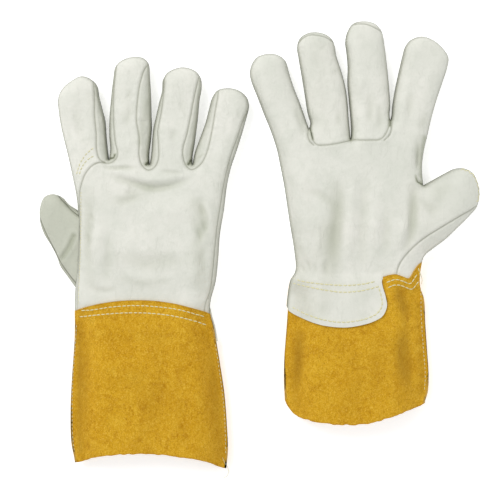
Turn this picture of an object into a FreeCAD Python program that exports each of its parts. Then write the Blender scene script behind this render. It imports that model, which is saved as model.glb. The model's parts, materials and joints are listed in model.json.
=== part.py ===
import FreeCAD, Part
import math
import os

# Two leather gauntlets of the same hand lying side by side on a flat surface, fingers along +Y.
# The palm-down one lies on the -X side and the palm-up one on the +X side.  Millimetres, +Z up.
# Each panel is a real thickness of leather round a real hollow, and its plan outline is what
# a person looking straight down at it would trace.

# ---- driving dimensions ------------------------------------------------------------------
GRAIN = 1.3                 # grain leather of the hand
SPLIT = 1.6                 # split leather of the cuff
FOLD_GAP = 0.4              # clearance across each fold line
FAR = 400.0                 # longer than anything here

TIP_HEIGHT = 17.0           # how high the empty glove stands at the fingertips,
KNUCKLE_HEIGHT = 22.0       # at the knuckles,
HAND_HEIGHT = 27.0          # in the middle of the hand,
WRIST_HEIGHT = 25.0         # at the wrist
MOUTH_HEIGHT = 30.0         # and at the mouth of the cuff
THUMB_HEIGHT = 20.0

THREAD = 0.9                # width and height of a stitch
STITCH = 3.2                # length of a stitch
STITCH_PITCH = 4.4
STITCH_LIFT = 0.02          # keeps a stitch off the leather it lies on
ROW_SPACING = 5.0           # between the two rows of a double seam
FORK_WEB = 6.0              # width of the web between two fingers

# A finger is its root centre, root width, tip centre, tip width and the end of the tip.
PALM_DOWN = {
    "name": "palmdown",
    "palm_up": False,
    "knuckle_y": 60.0,
    "hand_middle_y": 10.0,
    "wrist_y": -50.0,
    "mouth_y": -185.0,
    "index": {"root": -141.5, "width": 31.0, "tip": -149.5, "tip_width": 30.0, "end": 140.0},
    "middle": {"root": -107.0, "width": 31.0, "tip": -105.5, "tip_width": 29.0, "end": 156.5},
    "ring": {"root": -73.0, "width": 30.0, "tip": -63.5, "tip_width": 30.0, "end": 148.0},
    "little": {"root": -39.8, "width": 30.0, "tip": -24.5, "tip_width": 29.0, "end": 130.5},
    "hand_left": [(-157, 60), (-151.5, 36), (-151.5, -36), (-153, -50)],
    "hand_right": [(-24.8, 60), (-29, 30), (-34, -10), (-41, -50)],
    "cuff_left": [(-153, -50), (-156.5, -120), (-156, -160), (-153.5, -181)],
    "cuff_right": [(-41, -50), (-33, -95), (-27, -150), (-27, -185.9)],
    "mouth_middle": (-98, -174),
    "thumb_fold_x": -152.1,
    "thumb": [(24, None), (-164, 40.5), ("arc", (-176.5, 38.5), (-181.2, 20)), (-169, -9), (-36, None)],
    "tongue_inner": [(-115, -50), (-119, -72)],
    "tongue_low": (-86, -90),
    "tongue_outer_y": -79.0,
    "seam_rows_y": -54.0,
}
PALM_UP = {
    "name": "palmup",
    "palm_up": True,
    "knuckle_y": 80.0,
    "hand_middle_y": 30.0,
    "wrist_y": -28.0,
    "mouth_y": -150.0,
    "index": {"root": 124.0, "width": 30.0, "tip": 137.5, "tip_width": 33.0, "end": 172.5},
    "middle": {"root": 92.0, "width": 30.0, "tip": 87.0, "tip_width": 31.0, "end": 185.9},
    "ring": {"root": 60.0, "width": 30.0, "tip": 46.7, "tip_width": 30.0, "end": 176.8},
    "little": {"root": 27.0, "width": 29.0, "tip": 8.5, "tip_width": 29.0, "end": 158.5},
    "hand_left": [(12.5, 80), (20, 49), (28, -5), (27, -28)],
    "hand_right": [(139, 80), (135.6, 56), (135.6, -12), (133, -28)],
    "cuff_left": [(27, -28), (21, -84), (20, -115), (26, -137)],
    "cuff_right": [(133, -28), (138, -70), (140.5, -108), (136.5, -131.5)],
    "mouth_middle": (75, -150),
    "thumb_fold_x": 136.2,
    "thumb": [(50, None), (160, 62), ("arc", (176, 60), (181, 38)), (159, 9), (-11, None)],
    "tongue_inner": [(100, -28), (104, -50)],
    "tongue_low": (71, -67.6),
    "tongue_outer_y": -54.0,
    "seam_rows_y": -32.0,
}
FINGERS = ("index", "middle", "ring", "little")


# ---- plan outlines and side profiles -----------------------------------------------------
def plan_face(path):
    """A flat face from points; an entry ("arc", through, end) bends round to its end."""
    start = FreeCAD.Vector(path[0][0], path[0][1], 0)
    here = start
    edges = []
    for step in path[1:]:
        if step[0] == "arc":
            through = FreeCAD.Vector(step[1][0], step[1][1], 0)
            end = FreeCAD.Vector(step[2][0], step[2][1], 0)
            edges.append(Part.Arc(here, through, end).toShape())
        else:
            end = FreeCAD.Vector(step[0], step[1], 0)
            edges.append(Part.makeLine(here, end))
        here = end
    if here.distanceToPoint(start) > 1e-6:
        edges.append(Part.makeLine(here, start))
    return Part.Face(Part.Wire(edges))


def upright(face):
    """The face drawn out into a prism taller than the glove."""
    return face.extrude(FreeCAD.Vector(0, 0, FAR))


def band(upper, lower):
    """A slab between two height lines, each a list of (y, z), running right across in X."""
    corners = upper + lower[::-1]
    points = [FreeCAD.Vector(-FAR, y, z) for y, z in corners]
    wire = Part.makePolygon(points + points[:1])
    return Part.Face(wire).extrude(FreeCAD.Vector(2 * FAR, 0, 0))


def raised(line, amount):
    return [(y, z + amount) for y, z in line]


def crown(glove):
    """Height of the glove's upper skin along Y."""
    return [
        (-FAR, MOUTH_HEIGHT),
        (glove["mouth_y"], MOUTH_HEIGHT),
        (glove["wrist_y"], WRIST_HEIGHT),
        (glove["hand_middle_y"], HAND_HEIGHT),
        (glove["knuckle_y"], KNUCKLE_HEIGHT),
        (glove["middle"]["end"], TIP_HEIGHT),
        (FAR, TIP_HEIGHT),
    ]


def sole(glove):
    """Height of the lower skin: a palm-down cuff is lifted where the tongue lies under it."""
    if glove["palm_up"]:
        return [(-FAR, 0), (FAR, 0)]
    lifted_to = glove["tongue_low"][1] - 4 * GRAIN
    return [(-FAR, 0), (lifted_to - 5 * GRAIN, 0), (lifted_to, GRAIN), (glove["wrist_y"], GRAIN),
            (glove["wrist_y"], 0), (FAR, 0)]


def flat_line(height):
    return [(-FAR, height), (FAR, height)]


def height_at(line, y):
    for (y0, z0), (y1, z1) in zip(line, line[1:]):
        if y0 <= y <= y1 and y1 > y0:
            return z0 + (z1 - z0) * (y - y0) / (y1 - y0)
    return line[-1][1]


def three_skins(outer, inner, top, bottom, leather):
    """Upper plate, lower plate and the wall between them, each cut from the same prism."""
    block = upright(outer)
    upper = block.common(band(top, raised(top, -leather)))
    lower = block.common(band(raised(bottom, leather), bottom))
    ring = block.cut(upright(inner))
    wall = ring.common(band(raised(top, -leather), raised(bottom, leather)))
    return upper, lower, wall


def joined(*shapes):
    whole = shapes[0].multiFuse(list(shapes[1:]))
    return whole.removeSplitter()


# ---- fingers -----------------------------------------------------------------------------
def finger_path(glove, finger, inset):
    """Tapered finger with a round end; inset draws the hollow inside it, open at the root."""
    size = glove[finger]
    root_y = glove["knuckle_y"] + FOLD_GAP / 2 - 2 * inset
    half_root = size["width"] / 2 - inset
    half_tip = size["tip_width"] / 2 - inset
    end = size["end"] - inset
    shoulder = size["end"] - size["tip_width"] * 0.42
    return [
        (size["root"] - half_root, root_y),
        (size["tip"] - half_tip, shoulder),
        ("arc", (size["tip"], end), (size["tip"] + half_tip, shoulder)),
        (size["root"] + half_root, root_y),
    ]


def finger_half(glove, finger, side):
    """Everything on one side (-1 or +1 in X) of a finger's centre line."""
    size = glove[finger]
    edge = side * FAR
    return upright(plan_face([
        (size["root"], glove["knuckle_y"] - FAR / 10),
        (size["tip"], size["end"] - size["tip_width"]),
        (size["tip"], FAR),
        (edge, FAR),
        (edge, glove["knuckle_y"] - FAR / 10),
    ]))


def finger_skins(glove, finger):
    outer = plan_face(finger_path(glove, finger, 0))
    inner = plan_face(finger_path(glove, finger, GRAIN))
    upper, lower, wall = three_skins(outer, inner, crown(glove), sole(glove), GRAIN)
    low_side = wall.common(finger_half(glove, finger, -1))
    high_side = wall.common(finger_half(glove, finger, +1))
    front, back = (upper, lower) if glove["palm_up"] else (lower, upper)
    # The index finger lies toward the thumb: -X on the palm-down glove, +X on the other.
    thumb_side, far_side = (high_side, low_side) if glove["palm_up"] else (low_side, high_side)
    return front, back, thumb_side, far_side


def make_index(glove):
    front, back, thumb_side, far_side = finger_skins(glove, "index")
    return {"index_wrap": joined(front, thumb_side, back), "index_fourchette": far_side}


def make_middle(glove):
    front, back, thumb_side, far_side = finger_skins(glove, "middle")
    return {
        "middle_front": front,
        "middle_back": back,
        "middle_fourchette_index_side": thumb_side,
        "middle_fourchette_ring_side": far_side,
    }


def make_ring(glove):
    front, back, thumb_side, far_side = finger_skins(glove, "ring")
    return {
        "ring_front": front,
        "ring_back": back,
        "ring_fourchette_middle_side": thumb_side,
        "ring_fourchette_little_side": far_side,
    }


def make_little(glove):
    front, back, thumb_side, far_side = finger_skins(glove, "little")
    return {
        "little_front": joined(front, far_side),
        "little_back": back,
        "little_fourchette": thumb_side,
    }


# ---- thumb -------------------------------------------------------------------------------
def thumb_path(glove):
    """The thumb's outline, closed along a straight root beside the hand."""
    away = 1 if glove["palm_up"] else -1
    root_x = glove["thumb_fold_x"] + away * FOLD_GAP / 2
    first, *middle, last = glove["thumb"]
    return [(root_x, first[0]), *middle, (root_x, last[0])]


def make_thumb(glove):
    outer = plan_face(thumb_path(glove))
    inner = outer.makeOffset2D(-GRAIN)
    toward_hand = -1 if glove["palm_up"] else 1
    reach = inner.copy()
    reach.translate(FreeCAD.Vector(toward_hand * 2 * GRAIN, 0, 0))
    hollow = inner.fuse(reach).removeSplitter()
    upper, lower, wall = three_skins(outer, hollow, flat_line(THUMB_HEIGHT), flat_line(0), GRAIN)
    front, back = (upper, lower) if glove["palm_up"] else (lower, upper)
    return {"thumb_front": front, "thumb_back": joined(back, wall)}


# ---- hand and cuff -----------------------------------------------------------------------
def side_strip(edge, thickness):
    """A strip of the given thickness inside one long edge; the sign says which way is in."""
    return plan_face(edge + [(x + thickness, y) for x, y in edge[::-1]])


def trimmed(edge, low, high):
    """The edge with its first and last points moved along it to the two given heights."""
    (x0, y0), (x1, y1) = edge[0], edge[1]
    (x2, y2), (x3, y3) = edge[-2], edge[-1]
    first = (x0 + (x1 - x0) * (high - y0) / (y1 - y0), high)
    last = (x3 + (x2 - x3) * (low - y3) / (y2 - y3), low)
    return [first, *edge[1:-1], last]


def thumb_window(glove):
    """The way from the hand's hollow into the thumb."""
    low = glove["thumb"][-1][0] + 2 * GRAIN
    high = glove["thumb"][0][0] - 2 * GRAIN
    height = THUMB_HEIGHT - 2 * GRAIN
    reach = 6 * GRAIN
    corner = FreeCAD.Vector(glove["thumb_fold_x"] - reach, low, GRAIN)
    return Part.makeBox(2 * reach, high - low, height, corner)


def make_hand(glove):
    low = glove["wrist_y"] + FOLD_GAP / 2
    high = glove["knuckle_y"] - FOLD_GAP / 2
    left = trimmed(glove["hand_left"], low, high)
    right = trimmed(glove["hand_right"], low, high)
    plate = upright(plan_face(left + right[::-1]))
    top = crown(glove)
    bottom = flat_line(0)
    upper = plate.common(band(top, raised(top, -GRAIN)))
    lower = plate.common(band(raised(bottom, GRAIN), bottom))
    between = band(raised(top, -GRAIN), raised(bottom, GRAIN))
    walls = [upright(side_strip(left, GRAIN)).common(between),
             upright(side_strip(right, -GRAIN)).common(between)]
    front, back = (upper, lower) if glove["palm_up"] else (lower, upper)
    palm = joined(front, *walls).cut(thumb_window(glove))
    return {"palm": palm, "hand_back": back}


def make_fourchette_forks(glove):
    """The web where each fourchette forks between two fingers, one solid for each crotch."""
    webs = []
    top = raised(crown(glove), -GRAIN)
    for one, other in zip(FINGERS, FINGERS[1:]):
        centre = (glove[one]["root"] + glove[other]["root"]) / 2
        front = glove["knuckle_y"] - FOLD_GAP / 2
        face = plan_face([
            (centre - FORK_WEB / 2, front - GRAIN),
            (centre + FORK_WEB / 2, front - GRAIN),
            (centre + FORK_WEB / 2, front),
            (centre - FORK_WEB / 2, front),
        ])
        webs.append(upright(face).common(band(top, flat_line(GRAIN))))
    return {"fourchette_forks": Part.Compound(webs)}


def make_cuff(glove):
    high = glove["wrist_y"] - FOLD_GAP / 2
    left = trimmed(glove["cuff_left"], glove["cuff_left"][-1][1], high)
    right = trimmed(glove["cuff_right"], glove["cuff_right"][-1][1], high)
    plate = upright(plan_face(left + [("arc", glove["mouth_middle"], right[-1])] + right[-2::-1]))
    top = crown(glove)
    bottom = sole(glove)
    upper = plate.common(band(top, raised(top, -SPLIT)))
    lower = plate.common(band(raised(bottom, SPLIT), bottom))
    between = band(raised(top, -SPLIT), raised(bottom, SPLIT))
    left_wall = upright(side_strip(left, SPLIT)).common(plate).common(between)
    right_wall = upright(side_strip(right, -SPLIT)).common(plate).common(between)
    front, back = (upper, lower) if glove["palm_up"] else (lower, upper)
    under = joined(lower, left_wall, right_wall)
    return {"cuff_palm": front, "cuff_back": under} if glove["palm_up"] else {
        "cuff_palm": under, "cuff_back": back}


def make_tongue(glove):
    """The end of the palm leather that lies over the cuff on the little-finger side."""
    high = glove["wrist_y"] - FOLD_GAP / 2
    edge = glove["cuff_left"] if glove["palm_up"] else glove["cuff_right"]
    edge_top = trimmed(edge, edge[-1][1], high)[0]
    outer_y = glove["tongue_outer_y"]
    edge_low = (height_at([(y, x) for x, y in edge[::-1]], outer_y), outer_y)
    (inner_x, _), inner_low = glove["tongue_inner"]
    face = plan_face([edge_top, (inner_x, high), inner_low, ("arc", glove["tongue_low"], edge_low)])
    if glove["palm_up"]:
        top = crown(glove)
        return {"palm_tongue": upright(face).common(band(raised(top, GRAIN), top))}
    return {"palm_tongue": upright(face).common(band(flat_line(GRAIN), flat_line(0)))}


# ---- stitches ----------------------------------------------------------------------------
def stitch_row(route, line):
    """Separate stitches along a route of (x, y) points, lying on the given height line."""
    stitches = []
    for (x0, y0), (x1, y1) in zip(route, route[1:]):
        run = math.hypot(x1 - x0, y1 - y0)
        count = int(run // STITCH_PITCH)
        angle = math.degrees(math.atan2(y1 - y0, x1 - x0))
        for number in range(count):
            part_way = (number + 0.5) / count
            x = x0 + (x1 - x0) * part_way
            y = y0 + (y1 - y0) * part_way
            highest = max(height_at(line, y - STITCH), height_at(line, y + STITCH))
            box = Part.makeBox(STITCH, THREAD, THREAD, FreeCAD.Vector(-STITCH / 2, -THREAD / 2, 0))
            box.rotate(FreeCAD.Vector(0, 0, 0), FreeCAD.Vector(0, 0, 1), angle)
            box.translate(FreeCAD.Vector(x, y, highest + STITCH_LIFT))
            stitches.append(box)
    return stitches


def make_wrist_stitches(glove):
    """The double row across the wrist, just below the fold."""
    y = glove["seam_rows_y"]
    if glove["palm_up"]:
        start = glove["cuff_left"][0][0] + 2 * ROW_SPACING
        end = glove["tongue_inner"][0][0] - ROW_SPACING
        line = raised(crown(glove), GRAIN)
    else:
        start = glove["cuff_left"][0][0] + 2 * ROW_SPACING
        end = glove["cuff_right"][0][0] - 2 * ROW_SPACING
        line = crown(glove)
    rows = []
    for row in (0, 1):
        row_y = y - row * ROW_SPACING
        rows += stitch_row([(start, row_y), (end, row_y)], line)
    return {"wrist_stitches": Part.Compound(rows)}


def make_tongue_stitches(glove):
    """The single row just inside the tongue's rounded edge, only on the glove that shows it."""
    inner_x, inner_y = glove["tongue_inner"][1]
    low_x, low_y = glove["tongue_low"]
    edge_x = glove["cuff_left"][0][0] + ROW_SPACING
    middle_x = (edge_x + low_x) / 2
    route = [
        (inner_x - ROW_SPACING, inner_y),
        ((inner_x + low_x) / 2 - ROW_SPACING / 2, (inner_y + low_y) / 2 - ROW_SPACING / 2),
        (low_x, low_y + ROW_SPACING),
        (middle_x, low_y + ROW_SPACING * 1.6),
        (edge_x, glove["tongue_outer_y"]),
    ]
    return {"tongue_stitches": Part.Compound(stitch_row(route, raised(crown(glove), GRAIN)))}


def make_cuff_side_stitches(glove):
    """The closing seam of the cuff on the thumb side."""
    edge = glove["cuff_right"] if glove["palm_up"] else glove["cuff_left"]
    inward = -1 if glove["palm_up"] else 1
    route = [(x + inward * 1.5 * THREAD, y) for x, y in edge[:-1]]
    route[0] = (route[0][0], glove["wrist_y"] - ROW_SPACING)
    return {"cuff_side_stitches": Part.Compound(stitch_row(route, crown(glove)))}


def make_hand_side_stitches(glove):
    """The double row down the hand from the index finger's root to the thumb."""
    edge = glove["hand_left"]
    rows = []
    for row in (1, 2):
        shift = row * ROW_SPACING * 0.8
        route = [(edge[0][0] + shift, edge[0][1] - ROW_SPACING), (edge[1][0] + shift, edge[1][1])]
        rows += stitch_row(route, crown(glove))
    return {"hand_side_stitches": Part.Compound(rows)}


# ---- assembly ----------------------------------------------------------------------------
def make_glove(glove):
    makers = [make_hand, make_fourchette_forks, make_index, make_middle, make_ring, make_little,
              make_thumb, make_cuff, make_tongue, make_wrist_stitches, make_cuff_side_stitches]
    makers.append(make_tongue_stitches if glove["palm_up"] else make_hand_side_stitches)
    pieces = {}
    for maker in makers:
        for piece, shape in maker(glove).items():
            pieces[glove["name"] + "_" + piece] = shape
    return pieces


def write_parts():
    os.makedirs("parts", exist_ok=True)
    for glove in (PALM_DOWN, PALM_UP):
        for name, shape in make_glove(glove).items():
            shape.exportStep("parts/" + name + ".step")


write_parts()
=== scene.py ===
import json
import math

import bpy
import numpy as np
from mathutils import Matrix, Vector
from mathutils.geometry import delaunay_2d_cdt
from mathutils.kdtree import KDTree


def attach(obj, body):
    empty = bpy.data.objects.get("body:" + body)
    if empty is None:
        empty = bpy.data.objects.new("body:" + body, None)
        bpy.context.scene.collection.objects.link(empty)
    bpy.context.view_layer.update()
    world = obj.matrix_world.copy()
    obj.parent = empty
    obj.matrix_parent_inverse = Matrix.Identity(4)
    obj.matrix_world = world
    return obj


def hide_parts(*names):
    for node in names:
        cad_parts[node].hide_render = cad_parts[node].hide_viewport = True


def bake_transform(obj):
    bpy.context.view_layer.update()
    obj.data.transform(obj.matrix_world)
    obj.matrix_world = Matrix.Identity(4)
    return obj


# Two leather gauntlets of one hand on a table: one back up (palm down), one palm up.
# Plan shapes are in millimetres in the frame's own axes; every mesh is made in metres.

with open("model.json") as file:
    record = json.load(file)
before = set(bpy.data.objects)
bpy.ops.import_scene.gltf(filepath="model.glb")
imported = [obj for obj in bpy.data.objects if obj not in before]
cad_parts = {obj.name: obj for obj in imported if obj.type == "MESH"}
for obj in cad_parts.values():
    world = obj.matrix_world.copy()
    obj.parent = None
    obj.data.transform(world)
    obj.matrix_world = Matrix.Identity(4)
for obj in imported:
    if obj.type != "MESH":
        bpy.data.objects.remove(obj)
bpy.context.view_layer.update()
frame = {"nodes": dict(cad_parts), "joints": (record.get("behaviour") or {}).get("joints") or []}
JOINTS = {joint["name"]: joint for joint in frame["joints"]}
MM = 0.001
FINGERS = ("index", "middle", "ring", "little")

GRAIN = 1.3                  # hand leather
SPLIT = 1.6                  # cuff leather
TOP_MESH = 1.25              # spacing of mesh points on the side that lies up
UNDER_MESH = 2.4             # and on the side that lies down
OUTLINE_MESH = 1.2

NARROWEST_SHEET = 10.5       # least width given to a small panel's sheet
PANEL_SHARE = 0.85           # share of its rectangle that a panel is taken to fill
SHORTENED_SHARE = 0.84       # the same where a small panel's length is shortened
FLOOR_CLEARANCE = 0.15       # the inner face never goes lower than this
MOUTH_SHORTER = 2.4          # how much shorter the cuff's upper half is cut at its mouth
STUDIO_LAMPS = (((-1.3, 1.5, 2.2), 1.3, 38), ((1.5, -0.6, 2.4), 2.0, 14))  # place, size, watts
CAMERA_PLACE = (-0.0079, -0.0042, 1.163)


def fold_mm(name, axis):
    """Where the frame's fold line of that name lies along X (0) or Y (1)."""
    return JOINTS[name]["pos_m"][axis] / MM


# ---- the two gloves, as listed points ----------------------------------------------------
# Each finger is its left side upward, its tip from left to right, and its right side downward.
PALM_DOWN = {
    "name": "palmdown",
    "palm_up": False,
    "order": ("index", "middle", "ring", "little"),
    "left_side": [(-153, -215), (-153, -181), (-156, -163), (-156.6, -136), (-155.5, -110),
                  (-154, -88), (-153, -68), (-153.3, -45), (-152, -27), (-150.6, -4),
                  (-150.2, 21), (-151.5, 38), (-155, 56)],
    "index": ([(-159, 74), (-161.5, 84), (-165, 99), (-167, 112), (-167.5, 121), (-164.5, 129)],
              [(-157, 136), (-148, 140.3), (-140.5, 138), (-135, 132.5)],
              [(-133, 123), (-130.5, 113), (-128, 103), (-127, 90), (-125.8, 78)]),
    "middle": ([(-124, 79), (-124.8, 90), (-124.8, 104), (-123.5, 120), (-121.5, 138),
                (-119.5, 148.5)],
               [(-114, 153.7), (-105, 156.4), (-97, 155.5), (-92.3, 151)],
               [(-91, 139), (-90, 122), (-89.7, 108), (-89.4, 97), (-90.3, 86), (-91.5, 75)]),
    "ring": ([(-90, 75), (-89.2, 86), (-88.2, 97), (-86.2, 106), (-83.5, 118), (-81, 128),
              (-80.3, 137)],
             [(-76, 143.5), (-65, 147.7), (-54, 145), (-49, 139)],
             [(-48, 131), (-49.8, 120), (-51, 106), (-52.5, 94), (-53.8, 84), (-55.5, 74)]),
    "little": ([(-54.2, 75), (-52, 82), (-48.3, 92), (-44.5, 103), (-42, 113), (-39, 123)],
               [(-34.5, 128.7), (-26, 130.4), (-17.5, 128.5), (-11, 123.3)],
               [(-8.7, 116), (-11.5, 103), (-15.5, 89), (-20, 75)]),
    "crotches": [(-124.9, 71), (-91.2, 67), (-55.6, 67)],
    "root_ends": [(-160, 58), (-20, 56)],
    "right_side": [(-23.7, 64), (-27, 49), (-29.5, 29), (-32.8, 9), (-34.3, -12), (-36.5, -31),
                   (-40.5, -46), (-41, -56), (-38, -68), (-34.5, -88), (-32.5, -100),
                   (-29, -124), (-27, -150), (-26.2, -170), (-27.5, -186), (-28, -215)],
    "hand_end": -66,
    "cuff_top": [(-156, -55), (-152.6, -54.4), (-136.5, -49.6), (-120, -46.6), (-104, -45.5),
                 (-86.5, -46), (-66, -49.2), (-43.5, -56), (-38, -58)],
    "cuff_mouth": [(-157, -180.6), (-150, -180.2), (-141, -177.8), (-120, -174.6),
                   (-100, -173.7), (-80, -174.5), (-60, -177), (-42, -180.7), (-28, -185.3),
                   (-24, -186)],
}
PALM_UP = {
    "name": "palmup",
    "palm_up": True,
    "order": ("little", "ring", "middle", "index"),
    "left_side": [(21, -180), (21, -130), (20.3, -115), (20.5, -95), (22.5, -68), (24.5, -42),
                  (26.5, -30), (30, -20), (29, -6), (25, 19), (20.5, 49), (17, 67)],
    "little": ([(14.5, 79), (10, 93), (4, 108), (-2, 123.5), (-6.5, 135), (-8, 142)],
               [(-6.8, 149), (-2, 156), (8, 159), (16, 157.5), (21.5, 153)],
               [(24.5, 143.5), (28.5, 131), (33, 119.5), (37, 108.5), (39.6, 100.5)]),
    "ring": ([(42.2, 100.5), (40, 109), (37.6, 124), (35.2, 139), (32.3, 156), (31.2, 164)],
             [(33.5, 171.5), (40, 176), (47, 176.9), (56, 174.5), (61.3, 169)],
             [(64, 157), (68, 144.5), (71, 133), (73, 120), (74, 106), (75, 95)]),
    "middle": ([(76, 95), (75.4, 106), (74.2, 120), (73, 134), (73.2, 148), (72.2, 160),
                (71.2, 168)],
               [(73, 177), (78, 184), (87, 186), (96, 184), (101.5, 177.5)],
               [(104, 165), (106, 149), (108, 128), (108.6, 115), (108, 107.5)]),
    "index": ([(109.6, 107.5), (110.2, 115), (112.3, 128), (115.5, 143), (118.8, 157),
               (121, 164.5)],
              [(126, 170.5), (135, 173.3), (144, 170.5), (152, 164), (157, 156)],
              [(156, 147.5), (151.5, 133.5), (147, 120), (143, 106), (139.5, 91), (136.5, 78)]),
    "crotches": [(41.1, 96.8), (75.5, 88), (108.7, 103.8)],
    "root_ends": [(8, 82), (142, 86)],
    "right_side": [(135, 66), (135.3, 56)],
    "thumb_side": [(144, 54), (153, 59), (162, 63.3), (170, 63.6), (177.5, 59.5), (181.5, 50),
                   (182.5, 42), (180.5, 32), (174, 24), (164, 14), (154, 4.5), (144, -3),
                   (137, -9), (134.2, -17), (133, -33), (136.5, -46), (137.5, -65), (139, -88),
                   (140.2, -108), (139.5, -122), (137, -131), (137, -180)],
    "thumb_crotch": (136, 49.5),
    "hand_end": -40,
    "cuff_top": [(22, -30), (60, -30), (97, -28), (102, -26), (111.3, -24.2), (117, -25.8),
                 (123.3, -27.7), (127.4, -21.6), (131.6, -16.6), (136, -13.5)],
    "cuff_mouth": [(18, -118), (20.5, -127), (23.5, -134), (28.6, -140.3), (38, -145.2),
                   (52, -148.6), (71, -149.8), (87, -149.2), (102, -145.4), (115.8, -140.6),
                   (128, -135.6), (136.5, -131.2), (142, -127)],
}

# Seam lines on the side that lies up.  Each bounds the panels named on the finger it crosses.
DOWN_SEAMS = {
    "index_fork": [(-140, 141), (-137.9, 134.5), (-136.4, 124), (-136, 105.5), (-134.6, 91),
                   (-134.3, 79), (-132.3, 71.5), (-127.4, 67.6), (-121.4, 68.4), (-117.6, 72),
                   (-117.2, 77), (-119.1, 85), (-120.8, 103), (-120.8, 124), (-119.3, 140),
                   (-117.5, 156)],
    "middle_fork": [(-91.5, 155), (-92.6, 150), (-95.6, 144), (-98.7, 133), (-100.4, 121),
                    (-101.5, 103), (-99, 87), (-99.2, 74), (-96.9, 65.7), (-91.7, 61.6),
                    (-86.3, 64.4), (-83.4, 71), (-83.7, 87), (-84.2, 93), (-81.1, 111),
                    (-79.3, 129), (-79.1, 139), (-80.5, 145)],
    "ring_fork": [(-49.5, 143), (-50.8, 137), (-54.6, 119), (-57.3, 104), (-60, 91),
                  (-63.2, 79), (-62.5, 69.7), (-59.3, 63.8), (-55.9, 62), (-52, 63.7),
                  (-47.6, 67.5), (-43.3, 76.5), (-39.4, 93.5), (-36.3, 113), (-34.3, 125),
                  (-34.5, 133)],
    "little_edge": [(-9, 120), (-10.5, 111), (-13.4, 104), (-18.2, 89.5), (-23.8, 73.5),
                    (-27.4, 60.5), (-30.2, 47), (-32.6, 31), (-35, 16), (-37, -3), (-38.5, -20),
                    (-41, -38), (-45, -50), (-46, -70)],
    "thumb_edge": [(-127.6, 67.7), (-132.6, 67.6), (-137.3, 65.4), (-142.6, 59.6), (-146.6, 50),
                   (-148.6, 40), (-148.4, 24.5), (-148.6, 0), (-149.8, -30), (-150.8, -52),
                   (-150.8, -70)],
}
UP_SEAMS = {
    "finger_base": [(42, 100), (42.3, 96), (43.2, 90.5), (44.6, 85), (47.6, 82.2), (56, 82.2),
                    (64, 83.4), (71, 85), (76.8, 86.6), (84.7, 86.1), (92, 86.2), (98.6, 86.6),
                    (103, 90.2), (106, 96.6), (107.6, 106)],
    "web_one": [(41.4, 98.5), (40.2, 94), (39.8, 89.5), (41.2, 85.2), (44.6, 82)],
    "web_two": [(109.4, 106), (108.9, 97.5), (107.2, 91), (102.4, 86)],
    "ring_tip": [(31, 165), (35.8, 170.7), (41.1, 173.4), (48, 173.3), (55.6, 171.2),
                 (61, 167.7), (65, 163)],
    "middle_tip": [(69, 172), (72.8, 178), (77.5, 182), (84.7, 182.8), (90.1, 181.9),
                   (95.4, 179.5), (100.6, 176.6), (105, 170)],
    "thumb_join": [(186, 37), (180.5, 33.5), (174, 29), (166.4, 24.6), (150, 14.8), (133.2, 4),
                   (121.5, -6.8), (114.8, -16), (112.5, -24), (112.5, -45)],
}

# Soft folds: points, half width, height (below zero is a valley), all in millimetres.
DOWN_FOLDS = [
    ([(-131, 66.5), (-122.8, 63.4), (-109.5, 63.4), (-99, 62.6)], 1.2, -1.5),
    ([(-84, 60.5), (-70, 59.5), (-58, 58)], 1.2, -1.0),
    ([(-126, 58), (-114, 54), (-100.3, 49.6), (-85.7, 46.6), (-69.8, 49.6), (-52.7, 57)], 2.6, -2.0),
    ([(-122, 62), (-104, 56.5), (-86, 53.8), (-68, 56), (-54, 61)], 3.0, 1.0),
    ([(-118, 35.5), (-108, 37), (-97, 40.5)], 2.6, -1.1),
    ([(-112, 42), (-98, 45)], 2.0, -0.8),
    ([(-100, 30), (-80, 27), (-60, 30), (-50, 36)], 7.0, 0.9),
    ([(-52, 40), (-46, 28), (-44, 16), (-48, 4)], 4.2, -1.7),
    ([(-46, 36), (-40.5, 22), (-40, 8)], 2.4, 1.0),
    ([(-58, 24), (-50, 12), (-51, -4)], 3.0, -0.9),
    ([(-44, 2), (-47, -12), (-44, -26)], 3.2, -1.1),
    ([(-56, -8), (-53, -22), (-57, -36)], 4.5, 0.9),
    ([(-140, 40), (-139, 20), (-141, 0), (-138, -22)], 3.4, -1.2),
    ([(-133, 30), (-131, 8), (-134, -16)], 4.6, 0.9),
    ([(-126, 12), (-124, -10), (-127, -34)], 3.6, -0.9),
    ([(-108, -6), (-94, -14), (-76, -12), (-64, -18)], 5.0, -0.9),
    ([(-112, -22), (-96, -28), (-80, -27)], 4.0, 0.8),
    ([(-142, -34), (-130, -38), (-116, -37)], 2.6, -0.8),
    ([(-109, 121), (-105, 128)], 1.1, -0.35),
    ([(-107, 119), (-103, 126)], 1.1, -0.35),
    ([(-111, 97), (-107, 108), (-105, 118)], 2.2, -0.7),
    ([(-67, 118), (-62, 110)], 1.2, -0.4),
    ([(-65, 121), (-60, 113)], 1.2, -0.4),
    ([(-19, 112), (-15, 104)], 1.2, -0.4),
    ([(-151, 118), (-149, 98), (-146, 82)], 3.0, -0.6),
    ([(-72, 84), (-70, 96)], 2.6, -0.7),
    ([(-108, 76), (-106, 88)], 2.6, 0.6),
    ([(-127, 108.5), (-135, 110.5)], 1.2, -0.7),
    ([(-92, 100), (-100, 103)], 1.4, -0.7),
    ([(-111, 119), (-107, 125)], 0.9, -0.45),
    ([(-64.5, 112), (-59, 104)], 0.9, -0.45),
    ([(-108, 48), (-103, 45.5)], 1.2, -0.6),
    ([(-49, 34), (-45.5, 24)], 1.3, -0.8),
    ([(-47, 20), (-43.5, 10)], 1.3, -0.8),
    ([(-51, 14), (-47, 2)], 1.3, -0.7),
    ([(-139, 26), (-136, 18)], 1.2, -0.6),
    ([(-142, 10), (-139.5, 0)], 1.2, -0.6),
]
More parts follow.
